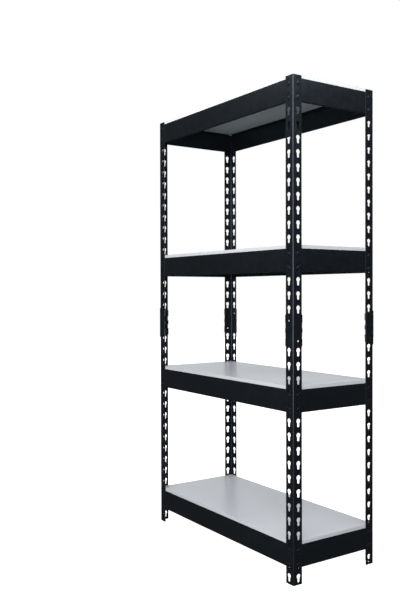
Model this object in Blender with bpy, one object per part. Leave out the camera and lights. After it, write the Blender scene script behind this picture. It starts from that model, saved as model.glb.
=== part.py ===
"""Four-tier boltless steel shelving: angle posts in two halves, splice sleeves, riveted beams and loose boards.

Metres, +Z up. X runs along the long side, Y along the depth, and the front is at -Y. The posts stand on z = 0.
"""

import math

import bmesh
import bpy
from mathutils import Vector

# Overall size, over the outer faces of the corner posts.
WIDTH = 0.915
DEPTH = 0.400
HALF_HEIGHT = 0.900

# Running gap between neighbouring pieces.
GAP = 0.0003

# Corner post: a punched angle, folded from sheet.
FLANGE = 0.040
POST_SHEET = 0.0015
BEND_RADIUS = 0.004
PITCH = 0.050
ROWS_PER_HALF = 18
FIRST_ROW = 0.025
HOLE_LINE = 0.0235

# Outline of one keyhole about its row height, across and up the flange.
KEYHOLE = (
    (0.0044, -0.0160),
    (0.0049, -0.0065),
    (0.0083, 0.0055),
    (0.0042, 0.0138),
    (-0.0042, 0.0138),
    (-0.0083, 0.0055),
    (-0.0049, -0.0065),
    (-0.0044, -0.0160),
)
# The tile corner that each edge of a hole is joined to, and the point where the next corner takes over.
EDGE_CORNER = (0, 0, 1, 1, 2, 3, 3, 0)
CORNER_POINT = ((0, 1, 2), (1, 2, 4), (2, 3, 5), (3, 0, 7))

# Beam: a folded channel with a wide top flange under the board and a narrow lip below.
BEAM_SHEET = 0.0012
BEAM_HEIGHT = 0.082
BEAM_TOP_ABOVE_ROW = 0.0155
TOP_FLANGE = 0.020
BOTTOM_LIP = 0.010
WEB_END_INSET = 0.005
FOLD_END_INSET = 0.0225

# Rivet: the shank sits in the keyhole's taper, with the head outside the post.
RIVET_SHANK_R = 0.0053
RIVET_HEAD_R = 0.0070
RIVET_HEAD_THICK = 0.0020
RIVET_CROWN = 0.86
RIVET_BELOW_ROW = 0.0030
RIVET_SIDES = 8

# Upper hole row that each level hangs from.
LEVEL_ROWS = (3, 14, 24, 36)

# Board.
BOARD_THICK = 0.0125
BOARD_INSET = 0.0026
BOARD_CORNER = 0.0020

# Splice sleeve around the joint of two post halves.
SLEEVE_SHEET = 0.0020
SLEEVE_HALF = 0.065
SLEEVE_END_DROP = 0.008
SLEEVE_REACH = 0.0398
SLEEVE_BEND = 0.0050
TAB_RETURN = 0.0050
TAB_SPANS = ((-0.055, -0.028), (-0.008, 0.008), (0.028, 0.055))
SLEEVE_HOLE_R = 0.0030
SLEEVE_HOLE_IN = 0.0210
SLEEVE_HOLE_LONG_Z = 0.035
SLEEVE_HOLE_SHORT_Z = -0.037
CURL_STEPS = 4
BEND_STEPS = 2

# Faces that meet at less than this are shaded as one round.
SMOOTH_DEGREES = 50

# Points closer than this are one point, and faces that meet at less than this are one flat face.
MERGE_DISTANCE = 1e-6
FLAT_ANGLE = 0.001

# Corner name: its X side, Y side and quarter turns from the front-left corner.
CORNERS = {"fl": (-1, -1, 0), "fr": (1, -1, 1), "rr": (1, 1, 2), "rl": (-1, 1, 3)}

COLOURS = {
    "post_coat": ((0.0130, 0.0150, 0.0195, 1.0), 0.42, 0.35),
    "splice_coat": ((0.0120, 0.0140, 0.0180, 1.0), 0.45, 0.35),
    "beam_coat": ((0.0125, 0.0145, 0.0185, 1.0), 0.50, 0.30),
    "board_melamine": ((0.5200, 0.5350, 0.5800, 1.0), 0.50, 0.0),
}


def clear_scene():
    for obj in list(bpy.data.objects):
        bpy.data.objects.remove(obj, do_unlink=True)


def make_materials():
    made = {}
    for name, (colour, roughness, metallic) in COLOURS.items():
        material = bpy.data.materials.new(name)
        material.use_nodes = True
        shader = material.node_tree.nodes["Principled BSDF"]
        shader.inputs["Base Color"].default_value = colour
        shader.inputs["Roughness"].default_value = roughness
        shader.inputs["Metallic"].default_value = metallic
        material.diffuse_color = colour
        made[name] = material
    return made


def mesh_from(bm, name, material):
    bmesh.ops.remove_doubles(bm, verts=bm.verts, dist=MERGE_DISTANCE)
    bmesh.ops.recalc_face_normals(bm, faces=bm.faces)
    mesh = bpy.data.meshes.new(name)
    bm.to_mesh(mesh)
    bm.free()
    mesh.materials.append(material)
    smooth_rounds(mesh)
    return mesh


def smooth_rounds(mesh):
    mesh.shade_smooth()
    mesh.set_sharp_from_angle(angle=math.radians(SMOOTH_DEGREES))


def place(name, mesh, x, y, z, quarter_turns, parent=None):
    """Object at a place given in its parent's axes, which are parallel to the world's."""
    obj = bpy.data.objects.new(name, mesh)
    bpy.context.scene.collection.objects.link(obj)
    obj.location = (x, y, z)
    obj.rotation_euler = (0.0, 0.0, quarter_turns * math.pi / 2)
    obj.parent = parent
    return obj


def thicken(outer, inner, faces):
    """Closed sheet between two matching point lists, with a wall along every free edge."""
    bm = bmesh.new()
    used = sorted({index for face in faces for index in face})
    top = {index: bm.verts.new(outer[index]) for index in used}
    low = {index: bm.verts.new(inner[index]) for index in used}
    edges = set()
    for face in faces:
        bm.faces.new([top[index] for index in face])
        bm.faces.new([low[index] for index in reversed(face)])
        for start, end in zip(face, face[1:] + face[:1]):
            edges.add((start, end))
    for start, end in sorted(edges):
        if (end, start) not in edges:
            bm.faces.new([top[end], top[start], low[start], low[end]])
    return bm


def punched_tile(ring, corners, flip):
    """Faces between the eight points of a hole and the four corners of its tile."""
    tile = []
    for index, corner in enumerate(EDGE_CORNER):
        tile.append([ring[index], corners[corner], ring[(index + 1) % len(ring)]])
    for first, second, point in CORNER_POINT:
        tile.append([corners[first], corners[second], ring[point]])
    return [face[::-1] for face in tile] if flip else tile


def arc(centre, radius, start, end, steps):
    """Points of an arc from one angle to another, in degrees."""
    points = []
    for step in range(steps + 1):
        angle = math.radians(start + (end - start) * step / steps)
        points.append((centre + radius * math.cos(angle), radius * math.sin(angle)))
    return points


def post_mesh(name, low, high, material):
    """One post half: both flanges punched alike, the fold on Z, flange outer faces on X = 0 and Y = 0."""
    outer = []
    inner = []
    faces = []
    fold = BEND_RADIUS - BEND_RADIUS * math.sqrt(0.5)
    fold_inner = BEND_RADIUS - (BEND_RADIUS - POST_SHEET) * math.sqrt(0.5)
    levels = [low]
    levels += [PITCH * row for row in range(1, ROWS_PER_HALF)]
    levels.append(high)

    def add(outer_xy, inner_xy, z):
        outer.append((outer_xy[0], outer_xy[1], z))
        inner.append((inner_xy[0], inner_xy[1], z))
        return len(outer) - 1

    columns = []
    for z in levels:
        edge_x = add((FLANGE, 0.0), (FLANGE, POST_SHEET), z)
        bend_x = add((BEND_RADIUS, 0.0), (BEND_RADIUS, POST_SHEET), z)
        middle = add((fold, fold), (fold_inner, fold_inner), z)
        bend_y = add((0.0, BEND_RADIUS), (POST_SHEET, BEND_RADIUS), z)
        edge_y = add((0.0, FLANGE), (POST_SHEET, FLANGE), z)
        columns.append((edge_x, bend_x, middle, bend_y, edge_y))

    for row in range(ROWS_PER_HALF):
        below = columns[row]
        above = columns[row + 1]
        z = FIRST_ROW + PITCH * row
        on_x = []
        on_y = []
        for across, up in KEYHOLE:
            along = HOLE_LINE + across
            on_x.append(add((along, 0.0), (along, POST_SHEET), z + up))
            on_y.append(add((0.0, along), (POST_SHEET, along), z + up))
        corners_x = (below[0], above[0], above[1], below[1])
        corners_y = (below[4], above[4], above[3], below[3])
        faces += punched_tile(on_x, corners_x, False)
        faces += punched_tile(on_y, corners_y, True)
        faces.append([below[1], above[1], above[2], below[2]])
        faces.append([below[2], above[2], above[3], below[3]])
    return mesh_from(thicken(outer, inner, faces), name, material)


def solid_from_cells(filled, xs, ys, zs):
    """Closed solid from the filled cells of a grid, with flat neighbouring faces joined."""
    bm = bmesh.new()
    grid = {}

    def corner(i, j, k):
        if (i, j, k) not in grid:
            grid[(i, j, k)] = bm.verts.new((xs[i], ys[j], zs[k]))
        return grid[(i, j, k)]

    sides = (
        ((-1, 0, 0), ((0, 0, 0), (0, 0, 1), (0, 1, 1), (0, 1, 0))),
        ((1, 0, 0), ((1, 0, 0), (1, 1, 0), (1, 1, 1), (1, 0, 1))),
        ((0, -1, 0), ((0, 0, 0), (1, 0, 0), (1, 0, 1), (0, 0, 1))),
        ((0, 1, 0), ((0, 1, 0), (0, 1, 1), (1, 1, 1), (1, 1, 0))),
        ((0, 0, -1), ((0, 0, 0), (0, 1, 0), (1, 1, 0), (1, 0, 0))),
        ((0, 0, 1), ((0, 0, 1), (1, 0, 1), (1, 1, 1), (0, 1, 1))),
    )
    for i, j, k in sorted(filled):
        for (di, dj, dk), loop in sides:
            if (i + di, j + dj, k + dk) in filled:
                continue
            bm.faces.new([corner(i + a, j + b, k + c) for a, b, c in loop])
    bmesh.ops.dissolve_limit(bm, angle_limit=FLAT_ANGLE, verts=bm.verts, edges=bm.edges)
    return bm


def lathe(profile, sides):
    """Closed turned piece about Y from (radius, y) points that start and end on the axis."""
    bm = bmesh.new()
    rings = []
    for radius, y in profile:
        if radius == 0.0:
            rings.append([bm.verts.new((0.0, y, 0.0))] * sides)
            continue
        ring = []
        for index in range(sides):
            angle = 2 * math.pi * (index + 0.5) / sides
            ring.append(bm.verts.new((radius * math.cos(angle), y, radius * math.sin(angle))))
        rings.append(ring)
    for first, second in zip(rings, rings[1:]):
        for index in range(sides):
            after = (index + 1) % sides
            loop = []
            for vert in (first[index], first[after], second[after], second[index]):
                if vert not in loop:
                    loop.append(vert)
            bm.faces.new(loop)
    bmesh.ops.dissolve_limit(bm, angle_limit=FLAT_ANGLE, verts=bm.verts, edges=bm.edges)
    bmesh.ops.recalc_face_normals(bm, faces=bm.faces)
    return bm


def join(base, tools, name, material):
    """Mesh of base with each tool joined to it."""
    base_object = place(name + "_base", mesh_from(base, name, material), 0.0, 0.0, 0.0, 0)
    helpers = [base_object]
    for index, tool in enumerate(tools):
        helper = place(f"{name}_tool_{index}", mesh_from(tool, name + "_tool", material), 0.0, 0.0, 0.0, 0)
        helper.hide_render = True
        helper.display_type = "WIRE"
        modifier = base_object.modifiers.new(f"union_{index}", "BOOLEAN")
        modifier.operation = "UNION"
        modifier.solver = "EXACT"
        modifier.object = helper
        helpers.append(helper)
    bpy.context.view_layer.update()
    graph = bpy.context.evaluated_depsgraph_get()
    mesh = bpy.data.meshes.new_from_object(base_object.evaluated_get(graph))
    mesh.name = name
    smooth_rounds(mesh)
    for helper in helpers:
        bpy.data.objects.remove(helper, do_unlink=True)
    return mesh


def beam_mesh(name, span, material):
    """Beam for a side of this outer span: outer web face on Y = 0, foot of the web on Z = 0."""
    end = span / 2 - WEB_END_INSET
    fold_end = span / 2 - FOLD_END_INSET
    xs = (-end, -fold_end, fold_end, end)
    ys = (0.0, BEAM_SHEET, BOTTOM_LIP, TOP_FLANGE)
    zs = (0.0, BEAM_SHEET, BEAM_HEIGHT - BEAM_SHEET, BEAM_HEIGHT)
    filled = {(i, 0, k) for i in range(3) for k in range(3)}
    filled |= {(1, 1, 2), (1, 2, 2), (1, 1, 0)}
    web = solid_from_cells(filled, xs, ys, zs)

    under_head = -(POST_SHEET + 2 * GAP)
    profile = (
        (0.0, BEAM_SHEET / 2),
        (RIVET_SHANK_R, BEAM_SHEET / 2),
        (RIVET_SHANK_R, under_head),
        (RIVET_HEAD_R, under_head),
        (RIVET_HEAD_R * RIVET_CROWN, under_head - RIVET_HEAD_THICK),
        (0.0, under_head - RIVET_HEAD_THICK),
    )
    upper = BEAM_HEIGHT - BEAM_TOP_ABOVE_ROW - RIVET_BELOW_ROW
    rivets = []
    for side in (-1, 1):
        for height in (upper - PITCH, upper):
            rivet = lathe(profile, RIVET_SIDES)
            offset = Vector((side * (span / 2 - HOLE_LINE), 0.0, height))
            bmesh.ops.translate(rivet, verts=rivet.verts, vec=offset)
            rivets.append(rivet)
    return join(web, rivets, name, material)


def sleeve_section():
    """Outer and inner outlines of the sleeve in plan, from one tab's tip round the corner to the other's."""
    middle = POST_SHEET / 2
    curl = middle + GAP
    tip = SLEEVE_REACH - TAB_RETURN
    outer = [(tip, middle + curl + SLEEVE_SHEET)]
    inner = [(tip, middle + curl)]
    for line, radius in ((outer, curl + SLEEVE_SHEET), (inner, curl)):
        line += [(x, y + middle) for x, y in arc(SLEEVE_REACH, radius, 90, -90, CURL_STEPS)]
    bend = SLEEVE_BEND - GAP - SLEEVE_SHEET
    for line, radius in ((outer, SLEEVE_BEND), (inner, SLEEVE_BEND - SLEEVE_SHEET)):
        half = list(line)
        line += [(x, y + bend) for x, y in arc(bend, radius, 270, 180, BEND_STEPS)]
        line += [(y, x) for x, y in reversed(half)]
    return outer, inner


def sleeve_mesh(name, long_flange_on_x, material):
    """Splice sleeve about the post joint at Z = 0, with tabs curled behind the post's flanges."""
    outer_line, inner_line = sleeve_section()
    levels = [-SLEEVE_HALF]
    for low, high in TAB_SPANS:
        levels += [low, high]
    levels.append(SLEEVE_HALF)

    outer = []
    inner = []
    faces = []
    rows = []
    for z in levels:
        row = []
        for out, inn in zip(outer_line, inner_line):
            reach = min(max(out[0], out[1], 0.0) / SLEEVE_REACH, 1.0)
            drop = SLEEVE_END_DROP * reach if abs(z) == SLEEVE_HALF else 0.0
            height = z - math.copysign(drop, z)
            outer.append((out[0], out[1], height))
            inner.append((inn[0], inn[1], height))
            row.append(len(outer) - 1)
        rows.append(row)

    flange_x = CURL_STEPS + 1
    flange_y = flange_x + BEND_STEPS + 2
    heights = {flange_x: SLEEVE_HOLE_LONG_Z, flange_y: SLEEVE_HOLE_SHORT_Z}
    if not long_flange_on_x:
        heights = {flange_x: SLEEVE_HOLE_SHORT_Z, flange_y: SLEEVE_HOLE_LONG_Z}
    face_out = -(GAP + SLEEVE_SHEET)
    for span in range(len(levels) - 1):
        below = rows[span]
        above = rows[span + 1]
        tabbed = span % 2 == 1
        for index in range(len(outer_line) - 1):
            if not tabbed and not flange_x <= index <= flange_y:
                continue
            height = heights.get(index)
            if height is None or not levels[span] < height < levels[span + 1]:
                faces.append([below[index], above[index], above[index + 1], below[index + 1]])
                continue
            ring = []
            for step in range(8):
                angle = math.radians(45 * step - 67.5)
                along = SLEEVE_HOLE_IN + SLEEVE_HOLE_R * math.cos(angle)
                z = height + SLEEVE_HOLE_R * math.sin(angle)
                flip = index == flange_y
                outer.append((face_out, along, z) if flip else (along, face_out, z))
                inner.append((-GAP, along, z) if flip else (along, -GAP, z))
                ring.append(len(outer) - 1)
            near = index + 1 if flip else index
            far = index if flip else index + 1
            corners = (below[near], above[near], above[far], below[far])
            faces += punched_tile(ring, corners, flip)
    return mesh_from(thicken(outer, inner, faces), name, material)


def board_mesh(name, material):
    """Board with clipped corners, its underside on Z = 0."""
    x = WIDTH / 2 - BOARD_INSET
    y = DEPTH / 2 - BOARD_INSET
    cut = BOARD_CORNER
    outline = (
        (x, -y + cut),
        (x, y - cut),
        (x - cut, y),
        (-x + cut, y),
        (-x, y - cut),
        (-x, -y + cut),
        (-x + cut, -y),
        (x - cut, -y),
    )
    outer = [(px, py, BOARD_THICK) for px, py in outline]
    inner = [(px, py, 0.0) for px, py in outline]
    return mesh_from(thicken(outer, inner, [list(range(8))]), name, material)


def build():
    clear_scene()
    materials = make_materials()
    lower = post_mesh("lower_post", 0.0, HALF_HEIGHT - GAP, materials["post_coat"])
    upper = post_mesh("upper_post", 0.0, HALF_HEIGHT, materials["post_coat"])
    sleeves = (
        sleeve_mesh("splice_even", True, materials["splice_coat"]),
        sleeve_mesh("splice_odd", False, materials["splice_coat"]),
    )
    lower_frame = place("lower_frame", None, 0.0, 0.0, 0.0, 0)
    upper_frame = place("upper_frame", None, 0.0, 0.0, HALF_HEIGHT, 0, lower_frame)
    for corner, (side_x, side_y, turns) in CORNERS.items():
        x = side_x * WIDTH / 2
        y = side_y * DEPTH / 2
        place("lower_post_" + corner, lower, x, y, 0.0, turns, lower_frame)
        place("upper_post_" + corner, upper, x, y, 0.0, turns, upper_frame)
        place("splice_" + corner, sleeves[turns % 2], x, y, HALF_HEIGHT, turns, lower_frame)

    long_beam = beam_mesh("long_beam", WIDTH, materials["beam_coat"])
    short_beam = beam_mesh("short_beam", DEPTH, materials["beam_coat"])
    board = board_mesh("board", materials["board_melamine"])
    inset = POST_SHEET + GAP
    x = WIDTH / 2 - inset
    y = DEPTH / 2 - inset
    for level, row in enumerate(LEVEL_ROWS, start=1):
        foot = FIRST_ROW + PITCH * (row - 1) + BEAM_TOP_ABOVE_ROW - BEAM_HEIGHT
        frame = upper_frame if row > ROWS_PER_HALF else lower_frame
        up = foot - HALF_HEIGHT if row > ROWS_PER_HALF else foot
        shelf = place(f"level_{level}", None, 0.0, 0.0, up, 0, frame)
        place(f"beam_front_{level}", long_beam, 0.0, -y, 0.0, 0, shelf)
        place(f"beam_right_{level}", short_beam, x, 0.0, 0.0, 1, shelf)
        place(f"beam_rear_{level}", long_beam, 0.0, y, 0.0, 2, shelf)
        place(f"beam_left_{level}", short_beam, -x, 0.0, 0.0, 3, shelf)
        place(f"board_{level}", board, 0.0, 0.0, BEAM_HEIGHT + GAP, 0, shelf)


build()
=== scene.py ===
"""Looks of the boltless steel shelving: fine folded posts, beams, rivets, splice sleeves and melamine boards.

Metres, in the CAD frame: X along the long side, Y along the depth with the front at -Y, +Z up.
"""

import math

import bmesh
import bpy
from mathutils import Matrix, Vector


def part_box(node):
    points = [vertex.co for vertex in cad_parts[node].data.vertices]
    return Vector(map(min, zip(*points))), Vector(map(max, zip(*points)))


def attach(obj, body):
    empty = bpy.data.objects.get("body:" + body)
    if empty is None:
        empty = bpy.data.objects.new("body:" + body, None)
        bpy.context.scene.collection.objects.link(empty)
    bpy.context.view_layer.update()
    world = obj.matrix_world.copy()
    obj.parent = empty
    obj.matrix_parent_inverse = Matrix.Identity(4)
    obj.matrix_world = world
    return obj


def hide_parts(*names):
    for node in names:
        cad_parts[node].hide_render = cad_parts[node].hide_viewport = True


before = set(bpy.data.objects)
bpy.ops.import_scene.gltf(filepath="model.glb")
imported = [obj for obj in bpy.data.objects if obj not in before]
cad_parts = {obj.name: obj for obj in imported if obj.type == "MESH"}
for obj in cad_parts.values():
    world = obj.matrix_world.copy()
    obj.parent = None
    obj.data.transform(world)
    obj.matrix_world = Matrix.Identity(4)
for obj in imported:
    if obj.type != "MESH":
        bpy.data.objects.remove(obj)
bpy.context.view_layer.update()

# Corner post, as in the CAD model.
FLANGE = 0.040
POST_SHEET = 0.0015
BEND_RADIUS = 0.004
PITCH = 0.050
ROWS_PER_HALF = 18
FIRST_ROW = 0.025
HOLE_LINE = 0.0235
GAP = 0.0003

# Keyhole about its row height: a round head over a parallel slot with a round foot.
HEAD_R = 0.0083
HEAD_UP = 0.0055
SLOT_HALF = 0.0049
SLOT_DOWN = 0.0160

# Beam section.
BEAM_SHEET = 0.0012
BEAM_HEIGHT = 0.082
BEAM_BEND = 0.0026
TOP_FLANGE = 0.020
BOTTOM_LIP = 0.010
WEB_END_INSET = 0.005
FOLD_END_INSET = 0.0225

# Rivet: a flat dome outside the post and a staked ring inside the beam.
RIVET_SHANK_R = 0.0046
RIVET_HEAD_R = 0.0070
RIVET_HEAD_THICK = 0.0020
RIVET_FOOT_SHARE = 0.97
RIVET_DOME_START = 10
RIVET_DOME_STEPS = 6
RIVET_DOME_FLATNESS = 0.7
RIVET_RING_R = 0.0068
RIVET_RING_THICK = 0.0011
RIVET_TOP_INSET = 0.0185
RIVET_SIDES = 28

# The staked ring's rounded edge: share of its radius and share of its thickness.
RIVET_RING_EDGE = ((0.55, 1.0), (0.90, 0.7), (1.0, 0.2), (1.0, 0.0))

# Splice sleeve.
SLEEVE_SHEET = 0.0020
SLEEVE_HALF = 0.065
SLEEVE_END_DROP = 0.008
SLEEVE_REACH = 0.0398
SLEEVE_BEND = 0.0050
TAB_RETURN = 0.0050
TAB_SPANS = ((-0.055, -0.028), (-0.008, 0.008), (0.028, 0.055))
SLEEVE_HOLE_R = 0.0030
SLEEVE_HOLE_IN = 0.0210
SLEEVE_HOLE_LONG_Z = 0.035
SLEEVE_HOLE_SHORT_Z = -0.037

# Board: an edge band runs round the core, a hair clear of it.
BAND_THICK = 0.0005
BAND_SHEET = 0.00048

# Rounding of the cut edges.
POST_ARRIS = 0.00025
SLEEVE_ARRIS = 0.0003
BEAM_ARRIS = 0.0002
CORE_ARRIS = 0.00012
BAND_ARRIS = 0.0002
ARRIS_ANGLE = 50

# Folds sharper than this stay sharp in the shading, in degrees.
SHEET_SHARP = 40
BOARD_SHARP = 30

# Faces whose normal points down more than this count as an underside.
UNDERSIDE_SLOPE = -0.1

# Straight steps in a quarter or half turn.
BEAM_BEND_STEPS = 5
POST_BEND_STEPS = 8
TAB_CURL_STEPS = 10
SLOT_FOOT_STEPS = 6
KEYHOLE_HEAD_STEPS = 10
SLEEVE_HOLE_SIDES = 20

CORNER_TURNS = {"fl": 0, "fr": 1, "rr": 2, "rl": 3}
SIDE_TURNS = {"front": 0, "right": 1, "rear": 2, "left": 3}
LEVELS = (1, 2, 3, 4)

# Filled by piece(), for the lights that reach one of them alone.
METAL_PIECES = []
BOARD_PIECES = []

# Camera.
CAMERA_TARGET = Vector((-0.4314, 0.0, 1.0002))
CAMERA_AZIMUTH = 56.31
CAMERA_ELEVATION = 0.605
CAMERA_ROLL = -0.147
CAMERA_DISTANCE = 3.426
CAMERA_LENS = 44.08

# Lights: name, azimuth, height, distance from the object's axis, height aimed at, size and radiance.
SOFTBOXES = (
    ("backdrop", 236, 0.68, 1.10, 0.68, (1.7, 0.85), 0.7),
    ("backdrop_high", 236, 0.93, 1.09, 0.93, (1.7, 0.38), 0.14),
    ("left_top", 0, 2.35, 0.95, 1.6, (1.2, 0.5), 0.9),
    ("right_top", 90, 2.35, 1.20, 1.6, (0.8, 0.5), 2.3),
)
# Kickers show only in the gloss of the metal.
KICKERS = (
    ("front_kicker", 35, 1.55, 4.20, 1.55, (4.6, 3.0), 5.0),
    ("left_kicker", 9, 2.70, 1.60, 1.2, (1.8, 1.0), 2.4),
    ("right_kicker", 83, 2.70, 1.70, 1.2, (1.2, 1.0), 8.4),
    ("rear_kicker", 215, 2.95, 4.20, 1.8, (4.6, 2.2), 6.0),
    ("rear_long_kicker", 200, 2.70, 1.60, 1.2, (1.4, 1.0), 3.0),
    ("rear_short_kicker", 250, 2.70, 1.70, 1.2, (0.8, 1.0), 5.0),
)
# Fills don't show in gloss, and an edge fill reaches the boards alone.
FILLS = (
    ("front_fill", 35, 1.55, 4.20, 1.55, (4.6, 3.0), 5.0),
    ("left_fill", 0, 2.00, 1.10, 1.75, (1.4, 0.4), 2.8),
    ("right_fill", 90, 2.00, 1.35, 1.75, (0.8, 0.4), 4.4),
    ("left_edge_fill", 0, 1.80, 0.45, 1.80, (1.1, 0.2), 1.1),
    ("right_edge_fill", 90, 1.80, 0.71, 1.80, (0.6, 0.2), 0.8),
)
WHITE = (1.0, 1.0, 1.0)
SKY_RADIANCE = 0.53
GLOSS_RADIANCE = 0.06
FLOOR_GLOW = 1.0
FLOOR_RADIUS = 14.0
FLOOR_DROP = 0.0005

# Tint of the black coat's reflections, and the strength of the melamine's.
COAT_TINT = (0.68, 0.81, 1.0)
MELAMINE_SPECULAR = 0.45


# ---------------------------------------------------------------- geometry


def quarter_turn(turns):
    return Matrix.Rotation(turns * math.pi / 2, 4, "Z")


def arc(centre, radius, start, end, steps):
    """Points of an arc in the plane, from one angle to another in degrees, both ends included."""
    points = []
    for index in range(steps + 1):
        angle = math.radians(start + (end - start) * index / steps)
        points.append((centre[0] + radius * math.cos(angle), centre[1] + radius * math.sin(angle)))
    return points


def keyhole_outline():
    """Anticlockwise outline about the row height, from the foot of the slot."""
    shoulder = -math.degrees(math.acos(SLOT_HALF / HEAD_R))
    right = arc((0.0, SLOT_HALF - SLOT_DOWN), SLOT_HALF, -90, 0, SLOT_FOOT_STEPS)
    right += arc((0.0, HEAD_UP), HEAD_R, shoulder, 90, KEYHOLE_HEAD_STEPS)
    left = [(-x, z) for x, z in reversed(right[1:-1])]
    return right + left


def circle_outline(radius, steps):
    return arc((0.0, 0.0), radius, -90, 270, steps)[:-1]


def tile_with_hole(ring, corners, spots, middle):
    """Triangles between a hole's ring and the four corners of its tile.

    ring and corners hold point numbers, spots the ring's plane places and middle the place it is seen from.
    Corners run low outer, high outer, high inner, low inner, and the ring runs the same way round.
    """

    def quarter(place):
        right = place[0] >= middle[0]
        high = place[1] >= middle[1]
        return {(True, False): 0, (True, True): 1, (False, True): 2, (False, False): 3}[(right, high)]

    count = len(ring)
    owners = []
    for index in range(count):
        here = spots[index]
        there = spots[(index + 1) % count]
        owners.append(quarter(((here[0] + there[0]) / 2, (here[1] + there[1]) / 2)))
    faces = []
    for index in range(count):
        after = (index + 1) % count
        faces.append([ring[index], corners[owners[index]], ring[after]])
        if owners[after] != owners[index]:
            faces.append([corners[owners[index]], corners[owners[after]], ring[after]])
    return faces


class Sheet:
    """Folded sheet metal: pairs of outer and inner points, and faces over them."""

    def __init__(self):
        self.outer = []
        self.inner = []
        self.faces = []

    def point(self, outer, inner):
        self.outer.append(Vector(outer))
        self.inner.append(Vector(inner))
        return len(self.outer) - 1

    def solid(self):
        bm = bmesh.new()
        top = [bm.verts.new(place) for place in self.outer]
        low = [bm.verts.new(place) for place in self.inner]
        edges = set()
        for face in self.faces:
            bm.faces.new([top[index] for index in face])
            bm.faces.new([low[index] for index in reversed(face)])
            edges.update(zip(face, face[1:] + face[:1]))
        for start, end in sorted(edges):
            if (end, start) not in edges:
                bm.faces.new([top[end], top[start], low[start], low[end]])
        bmesh.ops.delete(bm, geom=[vert for vert in bm.verts if not vert.link_faces], context="VERTS")
        bmesh.ops.recalc_face_normals(bm, faces=bm.faces)
        return bm


def lathe(profile, sides):
    """Closed turned piece about Y from (radius, y) points that start and end on the axis."""
    bm = bmesh.new()
    rings = []
    for radius, y in profile:
        if radius == 0.0:
            rings.append([bm.verts.new((0.0, y, 0.0))] * sides)
            continue
        ring = []
        for index in range(sides):
            angle = 2 * math.pi * index / sides
            ring.append(bm.verts.new((radius * math.cos(angle), y, radius * math.sin(angle))))
        rings.append(ring)
    for first, second in zip(rings, rings[1:]):
        for index in range(sides):
            after = (index + 1) % sides
            loop = list(dict.fromkeys((first[index], first[after], second[after], second[index])))
            bm.faces.new(loop)
    bmesh.ops.recalc_face_normals(bm, faces=bm.faces)
    return bm


def mesh_of(bm, name, material, sharp=SHEET_SHARP):
    """Mesh data with one material, smooth but for the folds sharper than this."""
    mesh = bpy.data.meshes.new(name)
    bm.to_mesh(mesh)
    bm.free()
    mesh.materials.append(material)
    mesh.shade_smooth()
    mesh.set_sharp_from_angle(angle=math.radians(sharp))
    return mesh


def line_below(mesh, material):
    """Puts a second material on the faces that look down."""
    mesh.materials.append(material)
    for face in mesh.polygons:
        face.material_index = int(face.normal.z < UNDERSIDE_SLOPE)


def piece(name, mesh, place, turns, body, slot, replaces=None):
    """Object of this mesh at a place, turned by quarter turns, riding on a body."""
    obj = bpy.data.objects.new(name, mesh)
    bpy.context.scene.collection.objects.link(obj)
    obj.matrix_world = Matrix.Translation(place) @ quarter_turn(turns)
    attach(obj, body)
    if replaces:
        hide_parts(replaces)
    if slot == "board_melamine":
        BOARD_PIECES.append(obj)
    else:
        METAL_PIECES.append(obj)
    return obj


def soften(obj, width, segments=2):
    """Rounded cut edges."""
    modifier = obj.modifiers.new("arris", "BEVEL")
    modifier.width = width
    modifier.segments = segments
    modifier.limit_method = "ANGLE"
    modifier.angle_limit = math.radians(ARRIS_ANGLE)


# ---------------------------------------------------------------- pieces


def post_mesh(name, length, material):
    """One post half on Z = 0, its fold along Z and its flanges' outer faces on X = 0 and Y = 0."""
    sheet = Sheet()
    outline = keyhole_outline()
    centre = (BEND_RADIUS, BEND_RADIUS)
    bend_outer = arc(centre, BEND_RADIUS, 270, 180, POST_BEND_STEPS)
    bend_inner = arc(centre, BEND_RADIUS - POST_SHEET, 270, 180, POST_BEND_STEPS)
    heights = [PITCH * row for row in range(ROWS_PER_HALF)] + [length]
    columns = []
    for z in heights:
        column = [sheet.point((FLANGE, 0.0, z), (FLANGE, POST_SHEET, z))]
        for out, inn in zip(bend_outer, bend_inner):
            column.append(sheet.point((*out, z), (*inn, z)))
        column.append(sheet.point((0.0, FLANGE, z), (POST_SHEET, FLANGE, z)))
        columns.append(column)
    for row, (below, above) in enumerate(zip(columns, columns[1:])):
        z = FIRST_ROW + PITCH * row
        on_x = []
        on_y = []
        for across, up in outline:
            along = HOLE_LINE + across
            on_x.append(sheet.point((along, 0.0, z + up), (along, POST_SHEET, z + up)))
            on_y.append(sheet.point((0.0, along, z + up), (POST_SHEET, along, z + up)))
        seen_from = (0.0, HEAD_UP)
        corners_x = (below[0], above[0], above[1], below[1])
        corners_y = (below[-1], above[-1], above[-2], below[-2])
        sheet.faces += tile_with_hole(on_x, corners_x, outline, seen_from)
        for face in tile_with_hole(on_y, corners_y, outline, seen_from):
            sheet.faces.append(face[::-1])
        for index in range(1, len(below) - 2):
            sheet.faces.append([below[index], above[index], above[index + 1], below[index + 1]])
    return mesh_of(sheet.solid(), name, material)


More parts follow.
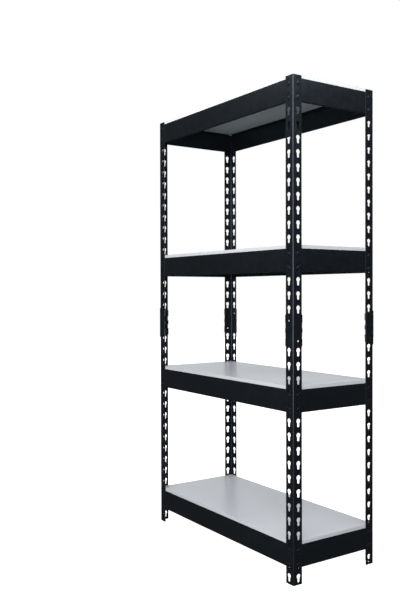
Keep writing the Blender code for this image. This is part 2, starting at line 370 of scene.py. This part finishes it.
def beam_mesh(name, span, material, underside):
    """Folded beam: outer web face on Y = 0, foot of the web on Z = 0. The faces that look down are matt."""
    end = span / 2 - WEB_END_INSET
    fold_end = span / 2 - FOLD_END_INSET
    stations = (-end, -fold_end, fold_end, end)
    inner_r = BEAM_BEND - BEAM_SHEET
    high = (BEAM_BEND, BEAM_HEIGHT - BEAM_BEND)
    low = (BEAM_BEND, BEAM_BEND)
    outer = [(TOP_FLANGE, BEAM_HEIGHT)] + arc(high, BEAM_BEND, 90, 180, BEAM_BEND_STEPS)
    inner = [(TOP_FLANGE, BEAM_HEIGHT - BEAM_SHEET)] + arc(high, inner_r, 90, 180, BEAM_BEND_STEPS)
    web_top = len(outer) - 1
    outer += arc(low, BEAM_BEND, 180, 270, BEAM_BEND_STEPS) + [(BOTTOM_LIP, 0.0)]
    inner += arc(low, inner_r, 180, 270, BEAM_BEND_STEPS) + [(BOTTOM_LIP, BEAM_SHEET)]
    sheet = Sheet()
    columns = []
    for x in stations:
        columns.append([sheet.point((x, *out), (x, *inn)) for out, inn in zip(outer, inner)])
    for station, (left, right) in enumerate(zip(columns, columns[1:])):
        for index in range(len(outer) - 1):
            if station == 1 or index == web_top:
                sheet.faces.append([left[index], left[index + 1], right[index + 1], right[index]])
    mesh = mesh_of(sheet.solid(), name, material)
    line_below(mesh, underside)
    return mesh


def rivets_mesh(name, span, material):
    """The four rivets of a beam, in the beam's own axes."""
    seat = -(POST_SHEET + 2 * GAP)
    crown = seat - RIVET_HEAD_THICK
    profile = [(0.0, BEAM_SHEET + RIVET_RING_THICK)]
    for out, thick in RIVET_RING_EDGE:
        profile.append((RIVET_RING_R * out, BEAM_SHEET + RIVET_RING_THICK * thick))
    profile.append((RIVET_SHANK_R, BEAM_SHEET))
    profile.append((RIVET_SHANK_R, seat))
    profile.append((RIVET_HEAD_R * RIVET_FOOT_SHARE, seat))
    for across, rise in arc((0.0, 0.0), 1.0, RIVET_DOME_START, 90, RIVET_DOME_STEPS)[:-1]:
        profile.append((RIVET_HEAD_R * across**RIVET_DOME_FLATNESS, seat + (crown - seat) * rise))
    profile.append((0.0, crown))
    rivets = bmesh.new()
    for side in (-1, 1):
        for drop in (RIVET_TOP_INSET, RIVET_TOP_INSET + PITCH):
            one = lathe(profile, RIVET_SIDES)
            place = Vector((side * (span / 2 - HOLE_LINE), 0.0, BEAM_HEIGHT - drop))
            bmesh.ops.translate(one, verts=one.verts, vec=place)
            part = bpy.data.meshes.new("rivet")
            one.to_mesh(part)
            one.free()
            rivets.from_mesh(part)
            bpy.data.meshes.remove(part)
    return mesh_of(rivets, name, material)


def sleeve_section():
    """Outer and inner outline, from one tab's tip round the bend to the other's.

    Also the number of the point where the first flange starts, and of the one where the bend ends.
    """
    middle = POST_SHEET / 2
    curl = middle + GAP
    tip = SLEEVE_REACH - TAB_RETURN
    outer = [(tip, middle + curl + SLEEVE_SHEET)]
    inner = [(tip, middle + curl)]
    outer += arc((SLEEVE_REACH, middle), curl + SLEEVE_SHEET, 90, -90, TAB_CURL_STEPS)
    inner += arc((SLEEVE_REACH, middle), curl, 90, -90, TAB_CURL_STEPS)
    flange_start = len(outer) - 1
    bend = SLEEVE_BEND - SLEEVE_SHEET - GAP
    outer += arc((bend, bend), SLEEVE_BEND, 270, 180, POST_BEND_STEPS)
    inner += arc((bend, bend), SLEEVE_BEND - SLEEVE_SHEET, 270, 180, POST_BEND_STEPS)
    bend_end = len(outer) - 1
    outer += [(y, x) for x, y in reversed(outer[: flange_start + 1])]
    inner += [(y, x) for x, y in reversed(inner[: flange_start + 1])]
    return outer, inner, flange_start, bend_end


def sleeve_row(sheet, outer, inner, z):
    """Points round the section at one height. The sleeve's two ends slope back towards its edges."""
    row = []
    for place, under in zip(outer, inner):
        reach = max(0.0, min(1.0, max(place) / SLEEVE_REACH))
        drop = SLEEVE_END_DROP * reach if abs(z) == SLEEVE_HALF else 0.0
        height = z - math.copysign(drop, z)
        row.append(sheet.point((*place, height), (*under, height)))
    return row


def sleeve_hole(sheet, on_x, height, spots):
    """Points round the hole in the flange that runs along X, or in the one along Y."""
    ring = []
    for across, up in spots:
        along = SLEEVE_HOLE_IN + across
        places = []
        for face in (-(GAP + SLEEVE_SHEET), -GAP):
            places.append((along, face, height + up) if on_x else (face, along, height + up))
        ring.append(sheet.point(*places))
    return ring


def sleeve_mesh(name, long_flange_on_x, material):
    """Splice sleeve about the post joint at Z = 0, with tabs curled behind the post's flanges."""
    outer, inner, flange_start, bend_end = sleeve_section()
    hole_heights = [SLEEVE_HOLE_LONG_Z, SLEEVE_HOLE_SHORT_Z]
    if not long_flange_on_x:
        hole_heights.reverse()
    holes = dict(zip((flange_start, bend_end), hole_heights))
    spots = circle_outline(SLEEVE_HOLE_R, SLEEVE_HOLE_SIDES)
    heights = [-SLEEVE_HALF, *sum(TAB_SPANS, ()), SLEEVE_HALF]
    sheet = Sheet()
    rows = [sleeve_row(sheet, outer, inner, z) for z in heights]
    for span, (below, above) in enumerate(zip(rows, rows[1:])):
        tabbed = span % 2 == 1
        # Between the tabs, only the two flanges and the bend are there.
        first, last = (0, len(outer) - 1) if tabbed else (flange_start, bend_end + 1)
        for index in range(first, last):
            corners = (below[index], above[index], above[index + 1], below[index + 1])
            height = holes.get(index)
            if height is None or not heights[span] < height < heights[span + 1]:
                sheet.faces.append(list(corners))
            elif index == flange_start:
                ring = sleeve_hole(sheet, True, height, spots)
                sheet.faces += tile_with_hole(ring, corners, spots, (0.0, 0.0))
            else:
                ring = sleeve_hole(sheet, False, height, spots)
                corners = (corners[3], corners[2], corners[1], corners[0])
                for face in tile_with_hole(ring, corners, spots, (0.0, 0.0)):
                    sheet.faces.append(face[::-1])
    return mesh_of(sheet.solid(), name, material)


def slab_mesh(name, low, high, material, hollow=0.0):
    """Rectangular slab between two corners, or its rim of this thickness."""
    size = high - low
    bm = bmesh.new()
    bmesh.ops.create_cube(bm, size=1.0)
    bmesh.ops.scale(bm, vec=size, verts=bm.verts)
    if hollow:
        caps = [face for face in bm.faces if abs(face.normal.z) > 0.5]
        bmesh.ops.inset_individual(bm, faces=caps, thickness=hollow)
        bmesh.ops.bridge_loops(bm, edges=[edge for face in caps for edge in face.edges])
        bmesh.ops.delete(bm, geom=caps, context="FACES_ONLY")
        bmesh.ops.recalc_face_normals(bm, faces=bm.faces)
    return mesh_of(bm, name, material, sharp=BOARD_SHARP)


# ---------------------------------------------------------------- materials


class Nodes:
    """Short helper around a material's node tree."""

    def __init__(self, name):
        self.material = bpy.data.materials.new(name)
        self.material.use_nodes = True
        self.tree = self.material.node_tree
        self.shader = self.tree.nodes["Principled BSDF"]
        self.place = self.tree.nodes.new("ShaderNodeTexCoord").outputs["Object"]

    def link(self, source, target):
        self.tree.links.new(source, target)

    def noise(self, scale, detail, roughness=0.55):
        node = self.tree.nodes.new("ShaderNodeTexNoise")
        node.inputs["Scale"].default_value = scale
        node.inputs["Detail"].default_value = detail
        node.inputs["Roughness"].default_value = roughness
        self.link(self.place, node.inputs["Vector"])
        return node.outputs["Fac"]

    def ramp(self, source, stops):
        """Colours at positions along the source, each stop being (position, colour)."""
        node = self.tree.nodes.new("ShaderNodeValToRGB")
        elements = node.color_ramp.elements
        while len(elements) < len(stops):
            elements.new(0.5)
        for element, (position, colour) in zip(elements, stops):
            element.position = position
            element.color = colour
        self.link(source, node.inputs["Fac"])
        return node.outputs["Color"]

    def span(self, source, low, high):
        """A plain number that runs between two values with the noise."""
        return self.ramp(source, ((0.30, grey(low)), (0.70, grey(high))))

    def tones(self, source, colour, stops):
        """Shades of one colour, each stop being (position, factor)."""
        return self.ramp(source, [(position, shade(colour, factor)) for position, factor in stops])

    def bump(self, source, strength, distance, after=None):
        node = self.tree.nodes.new("ShaderNodeBump")
        node.inputs["Strength"].default_value = strength
        node.inputs["Distance"].default_value = distance
        self.link(source, node.inputs["Height"])
        if after is not None:
            self.link(after, node.inputs["Normal"])
        return node.outputs["Normal"]


def grey(value):
    return (value, value, value, 1.0)


def shade(colour, factor):
    return (*[channel * factor for channel in colour], 1.0)


def powder_coat(name, colour, roughness, specular):
    """Black powder coat: slight orange peel, patchy sheen and a little settled dust."""
    nodes = Nodes(name)
    dust = nodes.noise(9.0, detail=5.0)
    base = nodes.tones(dust, colour, ((0.30, 0.82), (0.55, 1.0), (0.80, 1.25)))
    nodes.link(base, nodes.shader.inputs["Base Color"])
    sheen = nodes.noise(35.0, detail=3.0)
    nodes.link(nodes.span(sheen, roughness - 0.05, roughness + 0.06), nodes.shader.inputs["Roughness"])
    peel = nodes.bump(nodes.noise(900.0, detail=2.0), 0.25, 0.00015)
    grain = nodes.bump(nodes.noise(3200.0, detail=1.0), 0.12, 0.00006, peel)
    nodes.link(grain, nodes.shader.inputs["Normal"])
    nodes.shader.inputs["Specular IOR Level"].default_value = specular
    nodes.shader.inputs["Specular Tint"].default_value = (*COAT_TINT, 1.0)
    return nodes.material


def melamine(name, colour, roughness, grain_scale):
    """Pale melamine face with a faint cloudy print and a very fine pebble texture."""
    nodes = Nodes(name)
    cloud = nodes.noise(5.0, detail=6.0, roughness=0.6)
    base = nodes.tones(cloud, colour, ((0.30, 0.975), (0.52, 1.0), (0.75, 1.02)))
    nodes.link(base, nodes.shader.inputs["Base Color"])
    sheen = nodes.noise(14.0, detail=2.0)
    nodes.link(nodes.span(sheen, roughness - 0.012, roughness + 0.012), nodes.shader.inputs["Roughness"])
    pebble = nodes.bump(nodes.noise(grain_scale, detail=2.0), 0.05, 0.00002)
    nodes.link(pebble, nodes.shader.inputs["Normal"])
    nodes.shader.inputs["Specular IOR Level"].default_value = MELAMINE_SPECULAR
    return nodes.material


# Linear colour, roughness, and then the coat's specular level or the melamine's pebble scale.
MATERIALS = {
    "post": powder_coat("post_powder_coat", (0.0047, 0.0057, 0.0074), 0.34, 0.62),
    "beam": powder_coat("beam_powder_coat", (0.0046, 0.0056, 0.0070), 0.38, 0.56),
    "sleeve": powder_coat("sleeve_powder_coat", (0.0046, 0.0056, 0.0070), 0.38, 0.56),
    "underside": powder_coat("underside_powder_coat", (0.0046, 0.0056, 0.0070), 0.70, 0.15),
    "rivet": powder_coat("rivet_black", (0.0042, 0.0051, 0.0064), 0.46, 0.45),
    "board": melamine("board_melamine_face", (0.620, 0.648, 0.700), 0.31, 1500.0),
    # The boards' backs: the melamine's colour made darker and greener, as painted shade for the dim light
    # under the boards.
    "back": melamine("board_back_painted_shade", (0.448, 0.504, 0.508), 0.31, 1500.0),
    "band": melamine("board_edge_band", (0.560, 0.582, 0.615), 0.34, 2400.0),
}


# ---------------------------------------------------------------- the object


def build_posts():
    lower_low, lower_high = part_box("lower_post_fl")
    upper_low, upper_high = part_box("upper_post_fl")
    halves = (
        ("lower_post_", "lower_frame", lower_low.z, lower_high.z - lower_low.z),
        ("upper_post_", "upper_frame", upper_low.z, upper_high.z - upper_low.z),
    )
    for prefix, body, foot, length in halves:
        mesh = post_mesh(prefix + "mesh", length, MATERIALS["post"])
        for corner, turns in CORNER_TURNS.items():
            node = prefix + corner
            low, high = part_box(node)
            x = low.x if corner[1] == "l" else high.x
            y = low.y if corner[0] == "f" else high.y
            obj = piece(node + "_fine", mesh, (x, y, foot), turns, body, "post_coat", node)
            soften(obj, POST_ARRIS)


def build_sleeves():
    meshes = [sleeve_mesh(f"sleeve_{turn}", turn == 0, MATERIALS["sleeve"]) for turn in (0, 1)]
    for corner, turns in CORNER_TURNS.items():
        node = "splice_" + corner
        low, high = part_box(node)
        inset = GAP + SLEEVE_SHEET
        x = low.x + inset if corner[1] == "l" else high.x - inset
        y = low.y + inset if corner[0] == "f" else high.y - inset
        z = (low.z + high.z) / 2
        obj = piece(node + "_fine", meshes[turns % 2], (x, y, z), turns, "lower_frame", "splice_coat", node)
        soften(obj, SLEEVE_ARRIS)


def build_beams():
    post_low, post_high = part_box("lower_post_fl")
    far_low, far_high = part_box("lower_post_rr")
    width = far_high.x - post_low.x
    depth = far_high.y - post_low.y
    long_mesh = beam_mesh("long_beam", width, MATERIALS["beam"], MATERIALS["underside"])
    short_mesh = beam_mesh("short_beam", depth, MATERIALS["beam"], MATERIALS["underside"])
    long_rivets = rivets_mesh("long_rivets", width, MATERIALS["rivet"])
    short_rivets = rivets_mesh("short_rivets", depth, MATERIALS["rivet"])
    inset = POST_SHEET + GAP
    for level in LEVELS:
        for side, turns in SIDE_TURNS.items():
            node = f"beam_{side}_{level}"
            low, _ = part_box(node)
            along = turns % 2 == 0
            reach = depth / 2 - inset if along else width / 2 - inset
            place = quarter_turn(turns) @ Vector((0.0, -reach, 0.0))
            place.z = low.z
            body = f"level_{level}"
            mesh = long_mesh if along else short_mesh
            obj = piece(node + "_fine", mesh, place, turns, body, "beam_coat", node)
            soften(obj, BEAM_ARRIS)
            rivets = long_rivets if along else short_rivets
            piece(f"rivets_{side}_{level}", rivets, place, turns, body, "beam_coat")


def build_boards():
    for level in LEVELS:
        node = f"board_{level}"
        low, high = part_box(node)
        body = f"shelf_board_{level}"
        inset = Vector((BAND_THICK, BAND_THICK, 0.0))
        core = slab_mesh(node + "_core", low + inset, high - inset, MATERIALS["board"])
        # The faces that look down take the back material, whose darker colour is painted shade.
        line_below(core, MATERIALS["back"])
        band = slab_mesh(node + "_band", low, high, MATERIALS["band"], hollow=BAND_SHEET)
        middle = (low + high) / 2
        core_piece = piece(node + "_fine", core, middle, 0, body, "board_melamine", node)
        band_piece = piece(node + "_edge_band", band, middle, 0, body, "board_melamine")
        soften(core_piece, CORE_ARRIS, 1)
        soften(band_piece, BAND_ARRIS)


# ---------------------------------------------------------------- stage, light and camera


def around(azimuth, elevation, distance, target):
    """Point at an azimuth and elevation in degrees from a target, azimuth 0 being on the -Y side."""
    a = math.radians(azimuth)
    e = math.radians(elevation)
    away = Vector((math.sin(a) * math.cos(e), -math.cos(a) * math.cos(e), math.sin(e)))
    return Vector(target) + away * distance


def aim(obj, target):
    direction = Vector(target) - obj.location
    obj.rotation_euler = direction.to_track_quat("-Z", "Y").to_euler()


def floor_material():
    """Pale floor that glows enough to stay white, so that it takes no shadow."""
    material = bpy.data.materials.new("floor_pale")
    material.use_nodes = True
    shader = material.node_tree.nodes["Principled BSDF"]
    shader.inputs["Base Color"].default_value = (0.85, 0.85, 0.85, 1.0)
    shader.inputs["Roughness"].default_value = 0.9
    shader.inputs["Specular IOR Level"].default_value = 0.1
    shader.inputs["Emission Color"].default_value = (1.0, 1.0, 1.0, 1.0)
    shader.inputs["Emission Strength"].default_value = FLOOR_GLOW
    return material


def add_floor():
    """Floor seen by the camera alone, so that the undersides stay dark."""
    bm = bmesh.new()
    bmesh.ops.create_circle(bm, cap_ends=True, segments=96, radius=FLOOR_RADIUS)
    mesh = bpy.data.meshes.new("floor")
    bm.to_mesh(mesh)
    bm.free()
    mesh.materials.append(floor_material())
    floor = bpy.data.objects.new("floor", mesh)
    bpy.context.scene.collection.objects.link(floor)
    floor.location.z = -FLOOR_DROP
    floor.visible_diffuse = False
    floor.visible_glossy = False


def add_softbox(name, place, target, size, radiance):
    """Rectangular light of this radiance, which the camera doesn't see."""
    light = bpy.data.lights.new(name, "AREA")
    light.shape = "RECTANGLE"
    light.size = size[0]
    light.size_y = size[1]
    light.energy = radiance * math.pi * size[0] * size[1]
    light.color = WHITE
    obj = bpy.data.objects.new(name, light)
    bpy.context.scene.collection.objects.link(obj)
    obj.location = place
    obj.visible_camera = False
    aim(obj, target)
    return obj


def add_lights():
    """Lights round the object, with the reach that each kind of name stands for."""
    metal = bpy.data.collections.new("metal")
    boards = bpy.data.collections.new("boards")
    for obj in METAL_PIECES:
        metal.objects.link(obj)
    for obj in BOARD_PIECES:
        boards.objects.link(obj)
    for name, azimuth, height, away, target_z, size, radiance in SOFTBOXES + KICKERS + FILLS:
        place = around(azimuth, 0.0, away, (0.0, 0.0, height))
        light = add_softbox(name, place, (0.0, 0.0, target_z), size, radiance)
        light.visible_glossy = not name.endswith("fill")
        if name.endswith("kicker"):
            light.visible_diffuse = False
            light.light_linking.receiver_collection = metal
        if name.endswith("edge_fill"):
            light.light_linking.receiver_collection = boards


def background(tree, strength):
    """White background of this radiance."""
    node = tree.nodes.new("ShaderNodeBackground")
    node.inputs["Color"].default_value = (*WHITE, 1.0)
    node.inputs["Strength"].default_value = strength
    return node.outputs["Background"]


def mix_shaders(tree, factor, first, second):
    node = tree.nodes.new("ShaderNodeMixShader")
    tree.links.new(factor, node.inputs[0])
    tree.links.new(first, node.inputs[1])
    tree.links.new(second, node.inputs[2])
    return node.outputs["Shader"]


def add_world():
    """White surroundings for the camera, an even pale sky above the horizon, and dim ones in reflections."""
    world = bpy.data.worlds.new("studio")
    bpy.context.scene.world = world
    world.use_nodes = True
    world.cycles.sampling_method = "NONE"
    tree = world.node_tree
    tree.nodes.clear()
    path = tree.nodes.new("ShaderNodeLightPath")
    place = tree.nodes.new("ShaderNodeTexCoord")
    split = tree.nodes.new("ShaderNodeSeparateXYZ")
    tree.links.new(place.outputs["Generated"], split.inputs["Vector"])
    above = tree.nodes.new("ShaderNodeMath")
    above.operation = "GREATER_THAN"
    above.inputs[1].default_value = 0.0
    tree.links.new(split.outputs["Z"], above.inputs[0])
    ground = background(tree, 0.0)
    sky = mix_shaders(tree, above.outputs["Value"], ground, background(tree, SKY_RADIANCE))
    dim = background(tree, GLOSS_RADIANCE)
    shown = mix_shaders(tree, path.outputs["Is Glossy Ray"], sky, dim)
    shown = mix_shaders(tree, path.outputs["Is Camera Ray"], shown, background(tree, 1.0))
    output = tree.nodes.new("ShaderNodeOutputWorld")
    tree.links.new(shown, output.inputs["Surface"])


def add_camera():
    data = bpy.data.cameras.new("camera")
    data.lens = CAMERA_LENS
    data.sensor_width = 36.0
    data.clip_end = 100.0
    camera = bpy.data.objects.new("camera", data)
    bpy.context.scene.collection.objects.link(camera)
    camera.location = around(CAMERA_AZIMUTH, CAMERA_ELEVATION, CAMERA_DISTANCE, CAMERA_TARGET)
    facing = (CAMERA_TARGET - camera.location).to_track_quat("-Z", "Y").to_matrix().to_4x4()
    roll = Matrix.Rotation(math.radians(CAMERA_ROLL), 4, "Z")
    camera.matrix_world = Matrix.Translation(camera.location) @ facing @ roll
    bpy.context.scene.camera = camera


build_posts()
build_sleeves()
build_beams()
build_boards()
add_floor()
add_world()
add_lights()
add_camera()
bpy.context.scene.view_settings.view_transform = "Standard"
